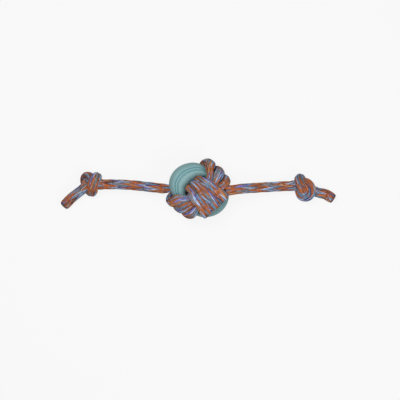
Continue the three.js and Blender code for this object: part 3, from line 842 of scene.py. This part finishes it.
class Skin:
    """Points, faces, tints and surface places gathered for one mesh."""

    def __init__(self):
        self.points, self.faces, self.tints, self.places, self.looks = [], [], [], [], []
        self.count = 0

    def tube(self, rings, tint, along, look, number=0):
        """A closed tube through rings of points; its number sets its own place across the pattern."""
        n, sides = rings.shape[:2]
        base = self.count
        self.points.append(rings.reshape(-1, 3))
        self.tints.append(np.broadcast_to(tint, (n, sides, 4)).reshape(-1, 4))
        across = np.broadcast_to(number + np.arange(sides) / sides, (n, sides))
        along = np.broadcast_to(along[:, None] * MM, (n, sides))
        self.places.append(np.stack([across, along], axis=2).reshape(-1, 2))
        row, j = np.meshgrid(base + np.arange(n - 1) * sides, np.arange(sides), indexing="ij")
        k = (j + 1) % sides
        quads = np.stack([row + j, row + k, row + sides + k, row + sides + j], axis=2)
        quads = quads.reshape(-1, 4).tolist()
        first = list(range(base + sides - 1, base - 1, -1))
        last = list(range(base + (n - 1) * sides, base + n * sides))
        self.faces += quads + [first, last]
        self.looks += [look] * (len(quads) + 2)
        self.count += n * sides

    def piece(self, name):
        """One object of all the tubes."""
        points = np.concatenate(self.points) * MM
        points[:, 2] = np.maximum(points[:, 2], FLOOR_CLEARANCE)
        mesh = bpy.data.meshes.new(name)
        mesh.from_pydata(points.tolist(), [], self.faces)
        tint = mesh.color_attributes.new("strand_tint", "FLOAT_COLOR", "POINT")
        tint.data.foreach_set("color", np.concatenate(self.tints).astype(np.float32).ravel())
        place = mesh.uv_layers.new(name="along_strand")
        loops = np.zeros(len(mesh.loops), np.int32)
        mesh.loops.foreach_get("vertex_index", loops)
        place.data.foreach_set("uv", np.concatenate(self.places)[loops].astype(np.float32).ravel())
        mesh.materials.append(ROPE_LOOK)
        mesh.materials.append(CORE_PAINTED_SHADE_LOOK)
        mesh.polygons.foreach_set("material_index", np.array(self.looks, np.int32))
        mesh.polygons.foreach_set("use_smooth", np.ones(len(mesh.polygons), bool))
        mesh.update()
        piece = bpy.data.objects.new(name, mesh)
        bpy.context.scene.collection.objects.link(piece)
        return piece


def unit(rows):
    """Directions, each made one long."""
    return rows / np.linalg.norm(rows, axis=-1, keepdims=True)


class Section:
    """Outlines of the rope's sections, one for each row, walked by a share of the way round."""

    def __init__(self, half_w, half_t, square):
        turn = 2 * math.pi * np.arange(OUTLINE_PARTS + 1) / OUTLINE_PARTS
        power = (2 / square)[:, None]
        c, s = np.cos(turn), np.sin(turn)
        self.x = half_w[:, None] * np.sign(c) * np.abs(c) ** power
        self.y = half_t[:, None] * np.sign(s) * np.abs(s) ** power
        steps = np.hypot(np.diff(self.x, axis=1), np.diff(self.y, axis=1))
        self.way = np.concatenate([np.zeros((len(half_w), 1)), np.cumsum(steps, axis=1)], axis=1)
        self.round = self.way[:, -1].copy()
        self.way /= self.round[:, None]

    def at(self, share):
        """A place on each row's outline, at that row's share of the way round."""
        share = share % 1
        return (
            np.array([np.interp(f, w, x) for f, w, x in zip(share, self.way, self.x)]),
            np.array([np.interp(f, w, y) for f, w, y in zip(share, self.way, self.y)]),
        )


class RopeLength:
    """Middle, directions and section of the rope for the rows from first to last."""

    def __init__(self, rows, first, last):
        all_along = lengths(rows)
        tangent = unit(np.gradient(rows[:, PLACE], axis=0))
        across = unit(rows[:, ACROSS] - (rows[:, ACROSS] * tangent).sum(1)[:, None] * tangent)
        cut = slice(first, last + 1)
        self.place, self.side, self.top = rows[cut, PLACE], across[cut], np.cross(tangent, across)[cut]
        self.along, self.whole_length = all_along[cut], all_along[-1]
        self.half_w, self.half_t = rows[cut, WIDTH] / 2, rows[cut, THICKNESS] / 2
        self.square = rows[cut, SQUARE]
        scale = np.minimum(self.half_w, self.half_t) / (ROPE / 2)
        flat = FLATTEST + (1 - FLATTEST) * scale
        self.height, self.weave = STRAND_HEIGHT * flat, WEAVE * flat

    def outline(self, inset):
        """The rope's sections, drawn in all round."""
        return Section(self.half_w - inset, self.half_t - inset, self.square)

    def on(self, x, y):
        """Places at each row, across it and up from it."""
        return self.place + self.side * x[:, None] + self.top * y[:, None]


def strand_rings(rope, section, hand, k):
    """Rings of points of one strand, which goes over two of the other hand and then under two."""
    crossing_count = 2 * STRANDS * rope.along / LAY + 2 * k * hand
    phase = RIGHT_PHASE if hand > 0 else LEFT_PHASE
    lift = rope.weave * np.cos(math.pi / 2 * (crossing_count - phase))
    share = k / STRANDS + hand * rope.along / LAY
    ahead, behind = section.at(share + ROUND_PROBE), section.at(share - ROUND_PROBE)
    dx, dy = ahead[0] - behind[0], ahead[1] - behind[1]
    out = unit(rope.side * dy[:, None] - rope.top * dx[:, None])
    centre = rope.on(*section.at(share)) + out * lift[:, None]
    run = unit(np.gradient(centre, axis=0))
    out = unit(out - (out * run).sum(1)[:, None] * run)
    wide = np.cross(run, out)
    half_width = (section.round + 2 * math.pi * (rope.weave + rope.height / 2)) / STRANDS / 2
    half_height = rope.height / 2 / STRAND_CREST
    return (
        centre[:, None]
        + wide[:, None] * (STRAND_SECTION[None, :, 0] * half_width[:, None])[:, :, None]
        + out[:, None] * (STRAND_SECTION[None, :, 1] * half_height[:, None])[:, :, None]
    )


def strand_tints(rope, yarns, rng, cast):
    """The tints of a strand's two yarns; each float is a little lighter or darker than the next."""
    spots = np.arange(-2, int(rope.whole_length / FLOAT_LENGTH) + 4)
    shade = 1 + FLOAT_SPAN * (rng.random(len(spots)) * 2 - 1)
    bright = np.interp(rope.along / FLOAT_LENGTH, spots, shade)
    bright = np.stack([*(bright * c for c in cast), np.ones(len(bright))], axis=1)
    second = (STRAND_SECTION[:, 0] < 0).astype(float)[None, :, None]
    return (np.array(yarns[0]) * (1 - second) + np.array(yarns[1]) * second) * bright[:, None]


def rope_core_painted_shade(rope):
    """Rings of the rope's dark middle, painted shade that shows between the strands."""
    inner = rope.outline(CORE_INSET * rope.height)
    shares = np.arange(CORE_SIDES) / CORE_SIDES
    return np.stack([rope.on(*inner.at(np.full(len(rope.place), share))) for share in shares], axis=1)


def braided_piece(name, rows, first, last, seed, cast=PLAIN):
    """Both hands of strands plaited round a core darkened as painted shade, along the rows from first to
    last.
    """
    rng = np.random.default_rng(seed)
    rope = RopeLength(rows, first, last)
    section = rope.outline(rope.weave + rope.height / 2)
    skin = Skin()
    for hand, tints in ((1, RIGHT_HAND), (-1, LEFT_HAND)):
        for k in range(STRANDS):
            # The points run backwards round the strand, so that its faces point outwards.
            rings = strand_rings(rope, section, hand, k)[:, ::-1]
            tint = strand_tints(rope, tints[k], rng, cast)[:, ::-1]
            skin.tube(rings, tint, rope.along, YARN_LOOK, k + 1 if hand > 0 else -k - 2)
    skin.tube(rope_core_painted_shade(rope), CORE_PAINTED_SHADE_TINT[None, None, :], rope.along, PAINTED_SHADE_LOOK)
    piece = skin.piece(name)
    return piece


def point(rows, i):
    """The place of a row, in metres."""
    return tuple(float(x) * MM for x in rows[i, PLACE])


def steps_of(length_mm):
    """The number of rows in a length of rope."""
    return round(length_mm / STEP)


FIST = "fist"
SEEDS = {"arm": 11, "knot": 12, "tail": 13, "round": 14, "through": 15}
# Where the rope is parted, in millimetres along it from the neck, the exit and the outlet.
ARM_FROM_NECK = 11
LEFT_ARM_PAST_EXIT = 26.0
RIGHT_ARM_PAST_EXIT = 9.5
KNOT_PAST_OUTLET = 7


def bend(piece):
    """Bakes the piece's placement into its mesh."""
    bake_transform(piece)


def rope_end(hand_side, past_exit, cast):
    """Arm, knot and tail of one end; gives its rows and where the arm stops in the fist."""
    rows, marks = end_rows(hand_side)
    arm_from = marks["neck"] + steps_of(ARM_FROM_NECK)
    arm_to = min(marks["exit"] + steps_of(past_exit), len(rows) - 1)
    tail_to = marks["outlet"] + steps_of(KNOT_PAST_OUTLET)

    arm_rope = braided_piece(f"{hand_side}_arm_rope", rows, arm_from, arm_to, SEEDS["arm"], cast)
    bend(arm_rope)
    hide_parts(f"{hand_side}_arm")

    knot_rope = braided_piece(f"{hand_side}_knot_rope", rows, tail_to, arm_from, SEEDS["knot"], cast)
    bend(knot_rope)
    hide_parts(f"{hand_side}_knot")

    tail_rope = braided_piece(f"{hand_side}_tail_rope", rows, 0, tail_to, SEEDS["tail"], cast)
    bend(tail_rope)
    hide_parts(f"{hand_side}_tail")
    return rows, arm_to


left_rows, left_arm_to = rope_end("left", LEFT_ARM_PAST_EXIT, SLACK_LEFT)
rope_end("right", RIGHT_ARM_PAST_EXIT, SLACK_RIGHT)

round_rope = braided_piece(
    "round_winding_rope", left_rows, left_arm_to, len(left_rows) - 1, SEEDS["round"], STRETCHED
)
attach(round_rope, FIST)
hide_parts("winding_round_ring")

through_rows = evenly(placed(inner_rows(), WINDING_FRAME), STEP)
through_rope = braided_piece(
    "through_winding_rope", through_rows, 0, len(through_rows) - 1, SEEDS["through"], STRETCHED
)
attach(through_rope, FIST)
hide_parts("winding_through_ring")


# The rubber ring.

# A round tube first, later squeezed to the ring's real sizes.
TORUS_RADIUS = 30.0
TUBE_RADIUS = 10.0
TORUS_PARTS = 96
TUBE_SIDES = 36
# Where the two grooves of a face lie round the tube, in degrees, and their edge and depth.
GROOVE_ANGLES = (51, 79)
GROOVE_EDGE = 0.2
GROOVE_DEPTH = 0.9
# The painted shade in the grooves is full at this depth.
GROOVE_SHADED = 1.0
# Soft rubber swells into the ends of the hole that the rope leaves open.
BORE_FILL = 5.8


def deselect_all():
    if bpy.context.mode != "OBJECT":
        bpy.ops.object.mode_set(mode="OBJECT")
    bpy.ops.object.select_all(action="DESELECT")


def select_grooves(ring):
    """Selects the strips of faces on both sides of the tube that the grooves take."""
    shape = bmesh.from_edit_mesh(ring.data)
    for face in shape.faces:
        middle = face.calc_center_median()
        out = math.hypot(middle.x, middle.y) - TORUS_RADIUS * MM
        mark = abs(math.degrees(math.atan2(middle.z, out)))
        if any(abs(mark - groove) < 360 / TUBE_SIDES / 2 for groove in GROOVE_ANGLES):
            face.select_set(True)
    bmesh.update_edit_mesh(ring.data)


def squeeze(mesh):
    """Gives the round tube the ring's oval form; how deep each point lies is kept as its groove, for the
    painted shade there.
    """
    painted_groove_shade = []
    for vertex in mesh.vertices:
        x, y, up = (c / MM for c in vertex.co)
        angle, out = math.atan2(y, x), math.hypot(x, y) - TORUS_RADIUS
        # Painted shade: the deeper a point lies inside the tube, the darker its groove.
        painted_groove_shade.append(smooth((TUBE_RADIUS - math.hypot(out, up)) / GROOVE_SHADED))
        outer, inner, half = ring_section(angle)
        inner -= BORE_FILL * abs(math.cos(angle - WINDING_HEADING)) ** 3
        reach = (outer + inner) / 2 + (outer - inner) / 2 * out / TUBE_RADIUS
        place = Vector((reach * math.cos(angle), reach * math.sin(angle), half * up / TUBE_RADIUS))
        vertex.co = RING_FRAME @ place * MM
    mesh.attributes.new("groove", "FLOAT", "POINT").data.foreach_set("value", painted_groove_shade)


def rubber_ring():
    """A round tube with two grooves on each face, then squeezed to the oval that the rope gives it."""
    deselect_all()
    bpy.ops.mesh.primitive_torus_add(
        major_segments=TORUS_PARTS, minor_segments=TUBE_SIDES,
        major_radius=TORUS_RADIUS * MM, minor_radius=TUBE_RADIUS * MM,
    )
    ring = bpy.context.object
    ring.name = ring.data.name = "rubber_ring"
    bpy.ops.object.mode_set(mode="EDIT")
    bpy.ops.mesh.select_all(action="DESELECT")
    select_grooves(ring)
    bpy.ops.mesh.inset(thickness=GROOVE_EDGE * MM, use_even_offset=True)
    bpy.ops.transform.shrink_fatten(value=-GROOVE_DEPTH * MM)
    bpy.ops.object.mode_set(mode="OBJECT")
    rounder = ring.modifiers.new("rounder", "SUBSURF")
    rounder.levels = rounder.render_levels = 2
    bpy.ops.object.modifier_apply(modifier="rounder")
    squeeze(ring.data)
    bpy.ops.object.shade_smooth()
    ring.data.materials.clear()
    ring.data.materials.append(RING_LOOK)
    return ring


ring = rubber_ring()
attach(ring, FIST)
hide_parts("ring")


# The sealed tips of the rope.

for hand_side in ("left", "right"):
    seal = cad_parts[f"{hand_side}_tail_seal"]
    seal.data.materials.clear()
    seal.data.materials.append(SEAL_LOOK)


# Floor, light and world.

FLOOR_SIZE = 6
FLOOR_SHADE = 0.65
# The share of the floor that glows by itself for the camera, which leaves the shadow soft.
FLOOR_GLOW = 0.86
WORLD_LEVEL = 0.20
AIM = Vector((0, 0, 0.03))


def mixed(tree, part, first, second, out):
    """Mixes two shaders by a part and sends them to the output."""
    mix = tree.nodes.new("ShaderNodeMixShader")
    tree.links.new(part, mix.inputs[0])
    tree.links.new(first.outputs[0], mix.inputs[1])
    tree.links.new(second.outputs[0], mix.inputs[2])
    tree.links.new(mix.outputs[0], tree.nodes[out].inputs["Surface"])


def pale_floor():
    """A pale floor that keeps the toy's shadow."""
    deselect_all()
    bpy.ops.mesh.primitive_plane_add(size=FLOOR_SIZE, location=(0, 0, 0))
    floor = bpy.context.object
    floor.name = "floor"
    look, tree, shader = bare_material("floor")
    shader.inputs["Base Color"].default_value = (FLOOR_SHADE, FLOOR_SHADE, FLOOR_SHADE, 1)
    shader.inputs["Roughness"].default_value = 0.9
    shader.inputs["Specular IOR Level"].default_value = 0.0
    glow = tree.nodes.new("ShaderNodeEmission")
    glow.inputs["Strength"].default_value = 1.0
    rays = tree.nodes.new("ShaderNodeLightPath")
    part = math_node(tree, "MULTIPLY", rays.outputs["Is Camera Ray"], FLOOR_GLOW)
    mixed(tree, part, shader, glow, "Material Output")
    floor.data.materials.append(look)


def studio_world():
    """Soft light all round, and plain white where the camera or a reflection sees past the toy."""
    world = bpy.data.worlds.new("studio")
    bpy.context.scene.world = world
    world.use_nodes = True
    tree = world.node_tree
    soft = tree.nodes["Background"]
    soft.inputs["Color"].default_value = (1, 1, 1, 1)
    soft.inputs["Strength"].default_value = WORLD_LEVEL
    white = tree.nodes.new("ShaderNodeBackground")
    white.inputs["Color"].default_value = (1, 1, 1, 1)
    white.inputs["Strength"].default_value = 1.0
    rays = tree.nodes.new("ShaderNodeLightPath").outputs
    reflected = math_node(tree, "MAXIMUM", rays["Is Glossy Ray"], rays["Is Transmission Ray"])
    seen = math_node(tree, "MAXIMUM", rays["Is Camera Ray"], reflected)
    mixed(tree, seen, soft, white, "World Output")


def soft_light(name, place, size, power):
    """A round lamp aimed at the toy; its size is in metres and its power in watts."""
    data = bpy.data.lights.new(name, "AREA")
    data.shape = "DISK"
    data.size = size
    data.energy = power
    light = bpy.data.objects.new(name, data)
    bpy.context.scene.collection.objects.link(light)
    light.location = place
    light.rotation_euler = (Vector(place) - AIM).to_track_quat("Z", "Y").to_euler()


pale_floor()
studio_world()
soft_light("key", place=(-0.25, 0.25, 1.3), size=0.6, power=9.9)
soft_light("fill", place=(0.6, -0.45, 1.1), size=0.8, power=6.0)

bpy.context.scene.view_settings.view_transform = "Standard"
